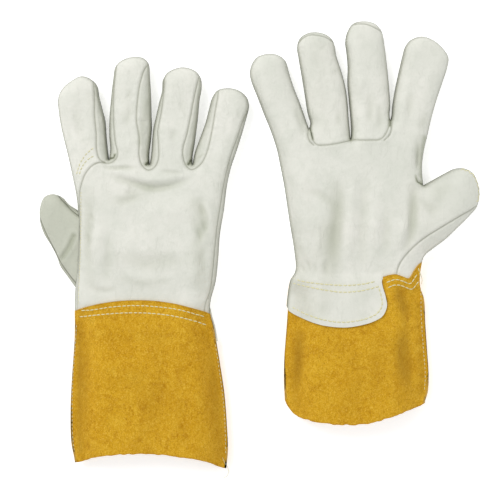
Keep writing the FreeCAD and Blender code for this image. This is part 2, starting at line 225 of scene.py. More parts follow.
UP_FOLDS = [
    ([(67, 52), (66, 30), (63, 8), (62, -8), (66, -24)], 5.6, -2.5),
    ([(75, 66), (75, 40), (73, 14), (74, -22)], 5.0, 1.5),
    ([(84, 60), (86, 30), (84, 0), (86, -22)], 4.4, -1.0),
    ([(94, 46), (95, 16), (94, -14)], 5.0, 0.9),
    ([(103, 34), (103.5, 10), (101, -14)], 4.0, -1.0),
    ([(126.5, 52), (126.2, 30), (124, 8), (118, -6)], 3.6, -2.4),
    ([(118, 24), (116.5, 8), (112, -6)], 3.6, 1.2),
    ([(48, 20), (48.5, 6), (48, -10)], 1.2, 0.7),
    ([(36, 44), (48, 42), (58, 35), (66, 27)], 2.6, -0.9),
    ([(32, 8), (36, -4), (42, -16)], 2.6, 1.0),
    ([(34, -14), (37, -24)], 1.2, -0.7),
    ([(39, -10), (41, -23)], 1.2, -0.7),
    ([(45, -14), (46.5, -25)], 1.2, -0.6),
    ([(55, -12), (54, -26)], 2.0, -0.8),
    ([(131, 92), (130, 76), (131.4, 60)], 2.6, -1.2),
    ([(138, 110), (133, 92)], 3.0, -0.9),
    ([(118, 120), (117, 104), (114, 92)], 3.4, 0.8),
    ([(125, 126), (123, 104)], 2.8, -0.9),
    ([(29, 116), (34, 102), (38, 90)], 2.6, -0.9),
    ([(90, 126), (92, 112), (90, 98)], 3.0, -1.0),
    ([(98, 118), (99.5, 104), (97, 92)], 2.6, -0.9),
    ([(84, 140), (82, 124)], 3.0, 0.7),
    ([(66, 112), (65, 96)], 2.6, -0.8),
    ([(50, 160), (56, 166)], 1.4, -0.5),
    ([(61, 140), (66, 147)], 1.8, -0.5),
    ([(144, 34), (150, 44), (160, 52)], 5.0, -0.9),
    ([(132, 40), (140, 30), (150, 28)], 4.0, -0.9),
    ([(131.6, 84), (130.4, 72), (129.6, 58)], 1.3, -1.6),
    ([(128.6, 56), (130.2, 52.2), (134.6, 50)], 1.0, -1.6),
    ([(130.4, 59.5), (132.4, 56.6), (134.6, 56)], 1.1, -0.8),
]
# Painted shade: places drawn darker, such as crotch holes, shaded wrinkles and the shaded sides of
# the cuffs: points, half width, amount.
DOWN_SHADE_PATCHES = [
    ([(-123.8, 71.5), (-120.4, 71.8), (-119, 74.5)], 1.0, 1.0),
    ([(-93.8, 66.4), (-91.5, 69), (-91.2, 76)], 1.3, 1.2),
    ([(-59, 66.5), (-56.5, 70.5)], 1.2, 1.1),
    ([(-99, 84), (-96, 100), (-93.4, 118)], 2.6, 0.25),
    ([(-50, 72), (-46, 75)], 1.0, 0.3),
    ([(-54, 34), (-48, 14), (-52, -8), (-50, -30)], 5.0, 0.16),
    ([(-141, 44), (-142, 10), (-139, -30)], 5.0, 0.12),
    ([(-118, 36), (-104, 40), (-92, 46)], 5.0, 0.12),
    ([(-112, -10), (-90, -18), (-70, -14)], 5.0, 0.10),
    ([(-112, -28), (-96, -31), (-78, -30)], 3.5, 0.12),
    ([(-140, 122), (-137, 100), (-138, 84)], 3.0, 0.10),
    ([(-108, 126), (-112, 104)], 3.0, 0.08),
    ([(-33, -70), (-33, -110), (-31, -172)], 10.0, 0.30),
    ([(-149, -66), (-149, -110), (-148, -170)], 3.5, 0.34),
    ([(-142, -82), (-143, -120), (-142, -160)], 3.0, 0.16),
    ([(-100, -112), (-92, -140), (-96, -166)], 9.0, 0.12),
    ([(-62, -84), (-66, -120), (-62, -160)], 6.0, 0.10),
]
UP_SHADE_PATCHES = [
    ([(136.6, 88), (134.8, 70), (134.6, 58), (135.6, 50)], 2.7, 0.74),
    ([(128.4, 57), (129.8, 52.2), (134.5, 49.8)], 0.9, 0.75),
    ([(75.4, 86.6), (75.2, 100), (73.4, 124)], 1.1, 0.8),
    ([(41.4, 97.5), (42.6, 92), (43.8, 87)], 0.9, 1.1),
    ([(108.4, 104), (107.4, 98)], 1.1, 1.1),
    ([(40.8, 91), (42, 86)], 1.4, 0.25),
    ([(62, 50), (61, 20), (61, -22)], 6.0, 0.12),
    ([(128, 46), (126, 20), (121, -4)], 5.0, 0.10),
    ([(50, 100), (50, 140), (48, 168)], 11.0, 0.10),
    ([(24, 10), (30, -20)], 6.0, 0.12),
    ([(26, 0), (42, -8), (40, -24)], 5.0, 0.10),
    ([(142, 60), (143, 30), (136, 6)], 5.0, 0.08),
    ([(34, -34), (38, -56)], 8.0, 0.24),
    ([(54, 12), (54, -10), (55, -28), (52, -52)], 7.0, 0.2),
    ([(86, -36), (84, -58)], 8.0, 0.06),
    ([(33, -74), (31, -100), (30, -132)], 4.5, 0.20),
    ([(111, -36), (116, -52), (119, -64)], 3.0, 0.22),
    ([(112, -82), (116, -104), (114, -126)], 8.0, 0.14),
    ([(134, -50), (136, -86), (135, -122)], 3.0, 0.26),
    ([(66, -84), (80, -104), (74, -136)], 9.0, 0.10),
]
DOWN_CUFF_FOLDS = [
    ([(-146, -70), (-147, -110), (-145, -150)], 5.0, -0.7),
    ([(-120, -62), (-124, -100), (-121, -150)], 9.0, 0.8),
    ([(-84, -60), (-82, -104), (-86, -160)], 10.0, -0.9),
    ([(-52, -70), (-50, -110), (-46, -160)], 7.0, 0.9),
    ([(-42, -74), (-39, -112), (-36, -160)], 3.6, -0.9),
    ([(-140, -96), (-100, -104), (-60, -98)], 12.0, 0.7),
]
UP_CUFF_FOLDS = [
    ([(33, -68), (32, -96), (30, -124)], 4.2, -2.2),
    ([(41, -72), (42, -100), (40, -134)], 6.0, 1.0),
    ([(113, -30), (118, -44), (125, -64)], 3.6, -2.6),
    ([(120, -66), (121, -90), (118, -122)], 6.0, -1.6),
    ([(127, -90), (124, -112), (126, -128)], 3.0, -1.0),
    ([(108, -32), (109, -46), (112, -64)], 3.6, 1.1),
    ([(122, -62), (118, -86), (122, -118)], 5.0, -1.5),
    ([(130, -48), (129, -80), (131, -118)], 4.0, 1.0),
    ([(72, -78), (74, -104), (70, -138)], 10.0, 0.8),
    ([(96, -70), (98, -100), (94, -134)], 7.0, -0.9),
]


# ---- plan geometry -----------------------------------------------------------------------
def smooth(points, step=OUTLINE_MESH):
    """A curve through given points, evenly sampled (centripetal, so it never loops)."""
    given = np.array(points, float)
    ends = [2 * given[0] - given[1], *given, 2 * given[-1] - given[-2]]
    pieces = []
    for p0, p1, p2, p3 in zip(ends, ends[1:], ends[2:], ends[3:]):
        t0 = 0.0
        t1 = t0 + np.linalg.norm(p1 - p0) ** 0.5
        t2 = t1 + np.linalg.norm(p2 - p1) ** 0.5
        t3 = t2 + np.linalg.norm(p3 - p2) ** 0.5
        t = np.linspace(t1, t2, 24, endpoint=False)[:, None]
        a1 = (t1 - t) / (t1 - t0) * p0 + (t - t0) / (t1 - t0) * p1
        a2 = (t2 - t) / (t2 - t1) * p1 + (t - t1) / (t2 - t1) * p2
        a3 = (t3 - t) / (t3 - t2) * p2 + (t - t2) / (t3 - t2) * p3
        b1 = (t2 - t) / (t2 - t0) * a1 + (t - t0) / (t2 - t0) * a2
        b2 = (t3 - t) / (t3 - t1) * a2 + (t - t1) / (t3 - t1) * a3
        pieces.append((t2 - t) / (t2 - t1) * b1 + (t - t1) / (t2 - t1) * b2)
    dense = np.vstack(pieces + [given[-1:]])
    return evenly(dense, step)


def evenly(line, step):
    run = np.concatenate([[0], np.cumsum(np.linalg.norm(np.diff(line, axis=0), axis=1))])
    count = max(2, int(round(run[-1] / step)) + 1)
    where = np.linspace(0, run[-1], count)
    return np.stack([np.interp(where, run, line[:, 0]), np.interp(where, run, line[:, 1])], 1)


def straight(start, end):
    return evenly(np.array([start, end], float), 1.1)


TREES = {}


def to_line(points, line):
    """Distance of each point from a line of points, and how far along it (in mm) that is."""
    if id(line) not in TREES:
        tree = KDTree(len(line))
        for k, (x, y) in enumerate(line):
            tree.insert((x, y, 0), k)
        tree.balance()
        run = np.concatenate([[0], np.cumsum(np.linalg.norm(np.diff(line, axis=0), axis=1))])
        TREES[id(line)] = (line, tree, run)
    line, tree, run = TREES[id(line)]
    nearest = np.array([tree.find((x, y, 0))[1] for x, y in points], int)
    best = np.full(len(points), np.inf)
    along = np.zeros(len(points))
    for first in (nearest - 1, nearest):
        first = np.clip(first, 0, len(line) - 2)
        a, ab = line[first], line[first + 1] - line[first]
        t = np.clip(((points - a) * ab).sum(1) / np.maximum((ab ** 2).sum(1), 1e-12), 0, 1)
        gap = np.linalg.norm(points - a - ab * t[:, None], axis=1)
        closer = gap < best
        best = np.where(closer, gap, best)
        along = np.where(closer, run[first] + t * (run[first + 1] - run[first]), along)
    return best, along


def close_by(points, line, reach):
    """Which points lie within reach of the box round a line."""
    low, high = line.min(0) - reach, line.max(0) + reach
    return np.nonzero(((points > low) & (points < high)).all(1))[0]


def inside(points, loop):
    """Which points lie inside a closed loop."""
    x, y = points[:, 0], points[:, 1]
    found = np.zeros(len(points), bool)
    for (x0, y0), (x1, y1) in zip(loop, np.roll(loop, -1, axis=0)):
        if y0 != y1:
            crosses = (y0 > y) != (y1 > y)
            found ^= crosses & (x < (x1 - x0) * (y - y0) / (y1 - y0) + x0)
    return found


def ease(low, high, value):
    """0 below low, 1 above high, smooth between."""
    t = np.clip((value - low) / (high - low), 0, 1)
    return t * t * (3 - 2 * t)


def ripple(points, size, seed):
    """Soft random waves about that many millimetres across, between -1 and 1."""
    grid = np.random.default_rng(seed).uniform(-1, 1, (64, 64))
    u = points / size + 31.7
    cell = np.floor(u).astype(int)
    f = u - cell
    f = f * f * (3 - 2 * f)
    i, j = cell[:, 0] % 64, cell[:, 1] % 64
    i1, j1 = (i + 1) % 64, (j + 1) % 64
    low = grid[i, j] * (1 - f[:, 0]) + grid[i1, j] * f[:, 0]
    high = grid[i, j1] * (1 - f[:, 0]) + grid[i1, j1] * f[:, 0]
    return low * (1 - f[:, 1]) + high * f[:, 1]


def apart(kept, candidates, gap):
    """The candidates that keep a gap from the kept points and from each other."""
    taken = {}
    for p in kept:
        taken.setdefault((int(p[0] // gap), int(p[1] // gap)), []).append(p)
    good = []
    for p in candidates:
        i, j = int(p[0] // gap), int(p[1] // gap)
        near = [q for a in (i - 1, i, i + 1) for b in (j - 1, j, j + 1)
                for q in taken.get((a, b), ())]
        if all((p[0] - q[0]) ** 2 + (p[1] - q[1]) ** 2 >= gap * gap for q in near):
            taken.setdefault((i, j), []).append(p)
            good.append(p)
    return np.array(good).reshape(-1, 2)


def beside(line, offset):
    """The line moved sideways, to its right for a positive offset."""
    tangent = np.gradient(line, axis=0)
    tangent /= np.linalg.norm(tangent, axis=1)[:, None]
    return line + np.stack([tangent[:, 1], -tangent[:, 0]], 1) * offset


# ---- the shape of a glove ----------------------------------------------------------------
class Glove:
    """One glove's outline, seams, folds and the height of its two sides over the plan."""

    def __init__(self, plan, seams, folds, marks):
        self.plan = plan
        self.name = plan["name"]
        self.palm_up = plan["palm_up"]
        self.knuckle = fold_mm(self.name + "_index_fold", 1)
        self.wrist = fold_mm(self.name + "_wrist_fold", 1)
        self.thumb_x = fold_mm(self.name + "_thumb_fold", 0)
        self.side_line = self.trace_sides()
        ends = plan["root_ends"]
        self.root_line = np.array([ends[0], *plan["crotches"], ends[1]], float)
        self.seams = {name: smooth(points) for name, points in seams.items()}
        self.folds = [(smooth(points, 1.5), width, height) for points, width, height in folds]
        self.marks = [(smooth(points, 1.0), width, amount) for points, width, amount in marks]
        self.cuff_top = smooth(plan["cuff_top"])
        self.cuff_mouth = smooth(plan["cuff_mouth"])
        self.cuff_mouth[:, 1] += 0.5 * ripple(self.cuff_mouth, 3.5, 7)

    def trace_sides(self):
        """The outline from below the cuff, up one side, round the fingers and down the other."""
        plan = self.plan
        turns = plan["crotches"] + [None]
        runs = []
        start = list(plan["left_side"])
        for finger, crotch in zip(plan["order"], turns):
            up, tip, down = plan[finger]
            points = start + up + tip + down
            if crotch is None:
                points = points + plan["right_side"]
                if self.palm_up:
                    points = points + [plan["thumb_crotch"]]
                    runs.append(smooth(points))
                    points = [plan["thumb_crotch"]] + plan["thumb_side"]
            else:
                points = points + [crotch]
            runs.append(smooth(points))
            start = [crotch]
        return np.vstack([run[:-1] for run in runs[:-1]] + [runs[-1]])

    def root_cuts(self):
        """Cut lines from crotch to crotch, where the fingers part from the hand."""
        return [straight(a, b) for a, b in zip(self.root_line, self.root_line[1:])]

    def on_finger(self, points):
        return points[:, 1] > np.interp(points[:, 0], self.root_line[:, 0], self.root_line[:, 1])

    def root_fold(self, finger):
        """Start and end of a stretch across a finger's root, given to bend."""
        k = self.plan["order"].index(finger)
        a, b = self.root_line[k], self.root_line[k + 1]
        out = np.array([a[1] - b[1], b[0] - a[0]]) / np.linalg.norm(b - a)
        return (*((a + b) / 2), 22), (*((a + b) / 2 + 18 * out), 22)

    def finger_of(self, points):
        """Index into plan order of the finger whose strip of the plan holds each point."""
        which = np.zeros(len(points), int)
        y = points[:, 1]
        for one, other, crotch in zip(self.plan["order"], self.plan["order"][1:],
                                      self.plan["crotches"]):
            right = np.array(self.plan[one][2][::-1])
            left = np.array(self.plan[other][0])
            middle = (np.interp(y, right[:, 1], right[:, 0])
                      + np.interp(y, left[:, 1], left[:, 0])) / 2
            divider = np.where(y < crotch[1], crotch[0], middle)
            which += points[:, 0] > divider
        return which

    def right_of_finger(self, points, finger):
        """True on the +X side of a finger's middle line."""
        up, _, down = self.plan[finger]
        left, right = np.array(up), np.array(down[::-1])
        y = points[:, 1]
        middle = np.interp(y, left[:, 1], left[:, 0]) + np.interp(y, right[:, 1], right[:, 0])
        return points[:, 0] > middle / 2

    def levels(self, y):
        """Height of the outline above the floor, rise above it, and edge radius, along Y."""
        top = self.plan["middle"][1][1][1]
        at = [self.wrist - 130, self.wrist - 40, self.wrist, self.wrist + 45, self.knuckle,
              self.knuckle + 35, top]
        outline = np.interp(y, at, [12, 11, 10, 10.5, 9.5, 8.5, 8])
        rise = np.interp(y, at, [15, 14, 12.5, 14.5, 12, 10, 8.5])
        radius = np.interp(y, at, [26, 24, 22, 20, 13.5, 13, 12])
        return outline, rise, radius

    def top_height(self, points, seams=True):
        """The upper surface of the leather over the plan, in mm above the floor."""
        y = points[:, 1]
        outline, rise, radius = self.levels(y)
        edge, _ = to_line(points, self.side_line)
        sewn = 1 - ease(self.wrist - 16, self.wrist + 4, y)
        hand = np.sqrt(1 - (1 - np.clip(edge / radius, 0, 1)) ** 2.3)
        cuff = np.sin(np.clip((edge - 4.2) / radius, 0, 1) * math.pi / 2) ** 1.2
        bulge = hand * (1 - sewn) + cuff * sewn
        z = outline + rise * bulge
        soft = ease(0.1, 0.9, bulge)
        z += soft * (0.7 * ripple(points, 34, 3) + 0.35 * ripple(points, 13, 4))
        z += soft * 0.12 * ripple(points * [1.0, 0.6], 4.2, 5)
        z += self.relief(points) * ease(0.0, 0.6, bulge)
        for line in self.seams.values() if seams else ():
            near = close_by(points, line, 8)
            gap, along = to_line(points[near], line)
            pucker = np.sin(along * 0.997) * 0.6 + np.sin(along * 0.648) * 0.4
            groove = (0.4 * np.exp(-((gap - 2.0) / 1.2) ** 2) - 0.95 * np.exp(-(gap / 0.65) ** 2)
                      + 0.16 * pucker * np.exp(-((gap - 2.5) / 2.2) ** 2))
            z[near] += groove * ease(self.wrist, self.wrist + 8, y[near])
        return z

    def relief(self, points):
        """What the soft folds add to the height."""
        total = np.zeros(len(points))
        for line, width, height in self.folds:
            near = close_by(points, line, 3 * width)
            gap, along = to_line(points[near], line)
            length = np.linalg.norm(np.diff(line, axis=0), axis=1).sum()
            ends = np.sin(np.clip(along / length, 0, 1) * math.pi)
            total[near] += 1.35 * height * ends * np.exp(-(gap / (1.15 * width)) ** 2)
        return total

    def tone(self, points):
        """0 to 1: painted shade, how much darker and greener the hide is drawn: in fold valleys, on
        the fourchettes towards the slots, and in the listed shade patches such as the crotch holes.
        """
        edge, _ = to_line(points, self.side_line)
        dark = np.clip(-self.relief(points) / 7, 0, 0.4)
        webs = np.zeros(len(points), bool)
        for key, line in self.seams.items():
            if key.endswith("fork"):
                webs |= inside(points, line)
        dark = np.where(webs, 0.04 + 0.42 * np.exp(-edge / 3.0), dark)
        for line, width, amount in self.marks:
            near = close_by(points, line, 3 * width)
            gap, _ = to_line(points[near], line)
            dark[near] += amount * np.exp(-(gap / width) ** 2)
        return np.clip(dark, 0, 1)

    def under_height(self, points, tucked=0):
        """The lower surface: nearly flat on the table, turning up to meet the outline."""
        outline, _, _ = self.levels(points[:, 1])
        edge, _ = to_line(points, self.side_line)
        flat = np.sqrt(1 - (1 - np.clip(edge / 9.0, 0, 1)) ** 2.2)
        return outline * (1 - flat) + 0.2 * flat + 2.2 * tucked * ease(0, 6, edge)

    def shade(self, points):
        """0 to 1: painted shade: how deep in a seam groove or near the outline each point lies. The
        colour is darkened for the shade in the grooves and where the leather turns away at the
        outline, and for the seam line itself.
        """
        depth = np.zeros(len(points))
        for line in self.seams.values():
            near = close_by(points, line, 4)
            gap, _ = to_line(points[near], line)
            depth[near] = np.maximum(depth[near], 0.82 * np.exp(-(gap / 0.85) ** 2))
        edge, _ = to_line(points, self.side_line)
        return np.maximum(depth, np.exp(-(edge / 2.0) ** 2))


# ---- meshes from plans -------------------------------------------------------------------
def hexagon_grid(low, high, spacing):
    """Points in rows, each row moved half a step from the one before."""
    rows = []
    for k, y in enumerate(np.arange(low[1], high[1], spacing * 0.866)):
        x = np.arange(low[0] + (k % 2) * spacing / 2, high[0], spacing)
        rows.append(np.stack([x, np.full(len(x), y)], 1))
    return np.vstack(rows)


def flat_mesh(loop, lines, spacing, edge_rings):
    """Triangles filling a closed loop, with the lines as edges and finer rows near both."""
    fixed = [loop] + list(lines)
    kept = np.vstack(fixed)
    if edge_rings:
        closed = np.vstack([loop, loop[:1]])
        rings = [beside(closed, d) for d in (0.35, 1.1, 2.2)]
        rings += [beside(line, d) for line in lines for d in (0.7, -0.7, 1.5, -1.5, 2.5, -2.5)
                  if np.ptp(line[:, 0]) > 0 and np.ptp(line[:, 1]) > 0]
        ring_points = np.vstack(rings)
        ring_points = ring_points[inside(ring_points, loop)]
        gap, _ = to_line(ring_points, closed)
        ring_points = ring_points[gap > 0.28]
        kept = np.vstack([kept, apart(kept, ring_points, 0.5)])
    grid = hexagon_grid(loop.min(0), loop.max(0), spacing)
    grid = grid[inside(grid, loop)]
    kept = np.vstack([kept, apart(kept, grid, spacing * 0.72)])
    edges = []
    first = 0
    for number, line in enumerate(fixed):
        count = len(line)
        edges += [(first + k, first + k + 1) for k in range(count - 1)]
        if number == 0:
            edges.append((first + count - 1, first))
        first += count
    made = delaunay_2d_cdt([Vector(p) for p in kept], edges, [], 0, 1e-5, False)
    points = np.array([tuple(p) for p in made[0]])
    faces = np.array([tuple(f) for f in made[2]])
    middles = points[faces].mean(1)
    faces = faces[inside(middles, loop)]
    a, b, c = (points[faces[:, k]] for k in range(3))
    turn = (b - a)[:, 0] * (c - a)[:, 1] - (b - a)[:, 1] * (c - a)[:, 0]
    faces = np.where((turn < 0)[:, None], faces[:, ::-1], faces)
    return points, faces[np.abs(turn) > 1e-4]


def corner_normals(places, faces):
    """Smooth normals at each point, weighted by face area."""
    a, b, c = (places[faces[:, k]] for k in range(3))
    flat = np.cross(b - a, c - a)
    normals = np.zeros_like(places)
    for k in range(3):
        np.add.at(normals, faces[:, k], flat)
    return normals / np.maximum(np.linalg.norm(normals, axis=1), 1e-9)[:, None]


def declare_sheet(outer, faces):
    """Works out a flat width and length for a panel, and does nothing with them.

    The flat size is worked out from the panel's own outer face, not from a measured cut. On
    small panels the width is raised and the length shortened to numbers the call takes.
    """
    a, b, c = (outer[faces[:, k]] for k in range(3))
    area = np.linalg.norm(np.cross(b - a, c - a), axis=1).sum() / 2
    length = np.ptp(outer, axis=0).max()
    width = max(area / length / PANEL_SHARE, NARROWEST_SHEET)
    length = min(length, area / width / SHORTENED_SHARE)


def panel(name, places, normals, faces, shade, tone, thickness, material):
    """A piece of leather of real thickness from its outer face, with its cut edge closed."""
    used, local = np.unique(faces, return_inverse=True)
    local = local.reshape(-1, 3)
    outer, n = places[used], normals[used]
    inner = outer - n * thickness
    inner[:, 2] = np.maximum(inner[:, 2], FLOOR_CLEARANCE)
    count = len(used)
    edges = {}
    for f in local:
        for k in range(3):
            edges[(f[k], f[(k + 1) % 3])] = True
    rim = [(a, b) for a, b in edges if (b, a) not in edges]
    quads = [(b, a, a + count, b + count) for a, b in rim]
    everything = [tuple(f) for f in local] + [tuple(f[::-1] + count) for f in local] + quads
    mesh = bpy.data.meshes.new(name)
    mesh.from_pydata((np.vstack([outer, inner]) * MM).tolist(), [], everything)
    raw = mesh.attributes.new("raw", "FLOAT", "FACE")
    raw.data.foreach_set("value", [0.0] * len(local) + [1.0] * (len(local) + len(quads)))
    # the painted shade of seams and outline, and that of valleys, fourchettes and shade patches, are
    # kept on the points for the materials
    for key, values in (("crease", shade[used]), ("tone", tone[used])):
        made = mesh.attributes.new(key, "FLOAT", "POINT")
        made.data.foreach_set("value", np.concatenate([values, values]).astype(np.float32))
    mesh.shade_smooth()
    corners = np.zeros((sum(len(f) for f in everything), 3))
    row = 0
    both = np.vstack([n, -n])
    whole = np.vstack([outer, inner])
    for number, f in enumerate(everything):
        if number < 2 * len(local):
            corners[row:row + 3] = both[list(f)]
            row += 3
        else:
            flat = np.cross(whole[f[1]] - whole[f[0]], whole[f[3]] - whole[f[0]])
            corners[row:row + 4] = flat / max(np.linalg.norm(flat), 1e-9)
            row += 4
    mesh.normals_split_custom_set(corners.tolist())
    piece = bpy.data.objects.new(name, mesh)
    bpy.context.scene.collection.objects.link(piece)
    mesh.materials.append(material)
    declare_sheet(outer, local)
    return piece


# ---- building a glove --------------------------------------------------------------------
def crossing(line, other):
    """Where one line first crosses another: (segment on line, segment on other, point)."""
    for i in range(len(line) - 1):
        p, r = line[i], line[i + 1] - line[i]
        q, s = other[:-1], other[1:] - other[:-1]
        turn = r[0] * s[:, 1] - r[1] * s[:, 0]
        turn = np.where(np.abs(turn) < 1e-12, 1e-12, turn)
        t = ((q[:, 0] - p[0]) * s[:, 1] - (q[:, 1] - p[1]) * s[:, 0]) / turn
        u = ((q[:, 0] - p[0]) * r[1] - (q[:, 1] - p[1]) * r[0]) / turn
        hit = np.nonzero((t >= 0) & (t < 1) & (u >= 0) & (u < 1))[0]
        if len(hit):
            return i, hit[0], p + r * t[hit[0]]
    raise ValueError("the lines don't cross")


def merge_borders(upper, under, loop):
    """One mesh of an upper and an under side that share their points along the loop."""
    (top, _), (low, low_faces) = upper, under
    known = {tuple(np.round(p, 3)): k for k, p in enumerate(top)}
    on_loop = {tuple(np.round(p, 3)) for p in loop}
    index = np.empty(len(low), int)
    extra = []
    for k, p in enumerate(low):
        key = tuple(np.round(p, 3))
        if key in on_loop and key in known:
            index[k] = known[key]
        else:
            index[k] = len(top) + len(extra)
            extra.append(k)
    return np.array(extra, int), index[low_faces][:, ::-1]


MATERIALS = {}
LEATHERS = {"grain": (GRAIN, "grain_leather"), "split": (SPLIT, "split_leather")}


def skins(glove, upper, under, shared, top_at, under_at, shade, label, kind):
    """Cuts one bag of leather (the under side may be missing) into its named panels."""
    if under is None:
        plan, faces = upper
        places = top_at(plan)
        is_upper = np.ones(len(faces), bool)
    else:
        extra, under_faces = merge_borders(upper, under, shared)
        plan = np.vstack([upper[0], under[0][extra]])
        places = np.vstack([top_at(upper[0]), under_at(under[0][extra])])
        faces = np.vstack([upper[1], under_faces])
        is_upper = np.arange(len(faces)) < len(upper[1])
    normals = corner_normals(places, faces)
    dark, tone = shade(plan)
    names = label(plan[faces].mean(1), is_upper)
    thickness, slot = LEATHERS[kind]
    made = {}
    for short in np.unique(names):
        name = glove.name + "_" + str(short)
        piece = panel(name + "_leather", places, normals, faces[names == short], dark, tone,
                      thickness, MATERIALS[kind])
        made[str(short)] = piece
    return made


def bend(glove, piece, body, start, end):
    """Bakes the piece's transform into its mesh."""
    glove.name + "_" + body
    [c * MM for c in start]
    [c * MM for c in end]
    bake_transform(piece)


def bend_at_wrist(glove, piece):
    """Passes the cuff's fold points to bend."""
    bend(glove, piece, "cuff", (0, glove.wrist + 6, 25), (0, glove.wrist - 12, 25))


def bend_at_thumb(glove, piece):
    """Passes the palm-up glove's thumb fold points to bend."""
    bend(glove, piece, "thumb", (135.1, 16, 20), (149.6, 15.6, 20))


def left_of(line, points):
    """Which points have a smaller X than a line that runs along Y."""
    line = line[np.argsort(line[:, 1])]
    return points[:, 0] < np.interp(points[:, 1], line[:, 1], line[:, 0])


def below(line, points):
    """How far each point is below a line that runs along X."""
    line = line[np.argsort(line[:, 0])]
    return np.interp(points[:, 0], line[:, 0], line[:, 1]) - points[:, 1]


def bag_loop(glove, left_y, right_y, bottom):
    """The hand's plan: the outline above two levels, closed by points from right to left."""
    side = glove.side_line
    first, _, start = crossing(side, np.array([[-400.0, left_y], [400.0, left_y]]))
    back, _, end = crossing(side[::-1], np.array([[-400.0, right_y], [400.0, right_y]]))
    upper = np.vstack([start, side[first + 1:len(side) - 1 - back], end])
    bottom = [smooth(bottom)] if bottom else []
    closing = evenly(np.vstack([end, *bottom, start]), 1.4)
    return np.vstack([upper, closing[1:-1]])


def layered(glove, points, z, tucked, outside):
    """Places for leather that narrows where it is tucked in, or widens where it lies outside."""
    edge, _ = to_line(points, glove.side_line)
    middle = (glove.side_line[0, 0] + glove.side_line[-1, 0]) / 2
    inward = np.sign(middle - points[:, 0])
    x = points[:, 0] + inward * np.exp(-edge / 6) * (2.8 * tucked - 1.3 * outside)
    return np.column_stack([x, points[:, 1], z])


def hand_pieces(glove, upper_loop, under_loop, shared, cuts, top_at, under_at, label):
    """The hand and fingers: finger, thumb and wrist-end panels are passed to bend, the rest attached
    to the hand's body.
    """
    upper = flat_mesh(upper_loop, list(glove.seams.values()) + cuts, TOP_MESH, True)
    under = flat_mesh(under_loop, cuts, UNDER_MESH, True)
    made = skins(glove, upper, under, shared, top_at, under_at,
                 lambda points: (glove.shade(points), glove.tone(points)), label, "grain")
    for short, piece in made.items():
        finger = short.split("_")[0]
        if finger in FINGERS and not short.endswith("root"):
            bend(glove, piece, finger, *glove.root_fold(finger))
        elif finger == "thumb" and not short.endswith("root"):
            bend_at_thumb(glove, piece)
        elif short.endswith(("end", "tongue")):
            bend_at_wrist(glove, piece)
        else:
            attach(piece, glove.name + "_hand")


def cuff_pieces(glove, top_at, under_at):
    """The golden cuff: two halves, open at the mouth and tucked over or under the hand."""
    side, top, mouth = glove.side_line, glove.cuff_top, glove.cuff_mouth
    first, a, top_left = crossing(side, top)
    back, b, top_right = crossing(side[::-1], top)
    low, c, mouth_left = crossing(side, mouth)
    lowest, d, mouth_right = crossing(side[::-1], mouth)
    left = np.vstack([mouth_left, side[low + 1:first + 1], top_left])
    right = np.vstack([top_right, side[len(side) - 1 - back:len(side) - 1 - lowest], mouth_right])
    loop = np.vstack([left, top[a + 1:b + 1], right, mouth[c + 1:d + 1][::-1]])

    def label(points, is_upper):
        return np.where(is_upper == glove.palm_up, "cuff_palm", "cuff_back")

    def shade(points):
        # Painted shade: darker along the cuff's outline, its upper edge where it laps the hand, and
        # its mouth.
        edge = np.minimum(to_line(points, side)[0], to_line(points, mouth)[0])
        edge = np.minimum(edge, to_line(points, top)[0])
        return 0.7 * np.exp(-(edge / 1.3) ** 2), glove.tone(points)

    made = skins(glove, flat_mesh(loop, [], 1.6, True), flat_mesh(loop, [], UNDER_MESH, True),
                 np.vstack([left, right]), top_at, under_at, shade, label, "split")
    for piece in made.values():
        bend_at_wrist(glove, piece)


def shorter_mouth(glove, points, z):
    """Places on the cuff's upper half, whose edge is cut a little shorter than the lower one."""
    gap, _ = to_line(points, glove.cuff_mouth)
    back = MOUTH_SHORTER * np.clip((z - 12) / 14, 0, 1) * np.exp(-gap / 25)
    return np.column_stack([points[:, 0], points[:, 1] + back, z])


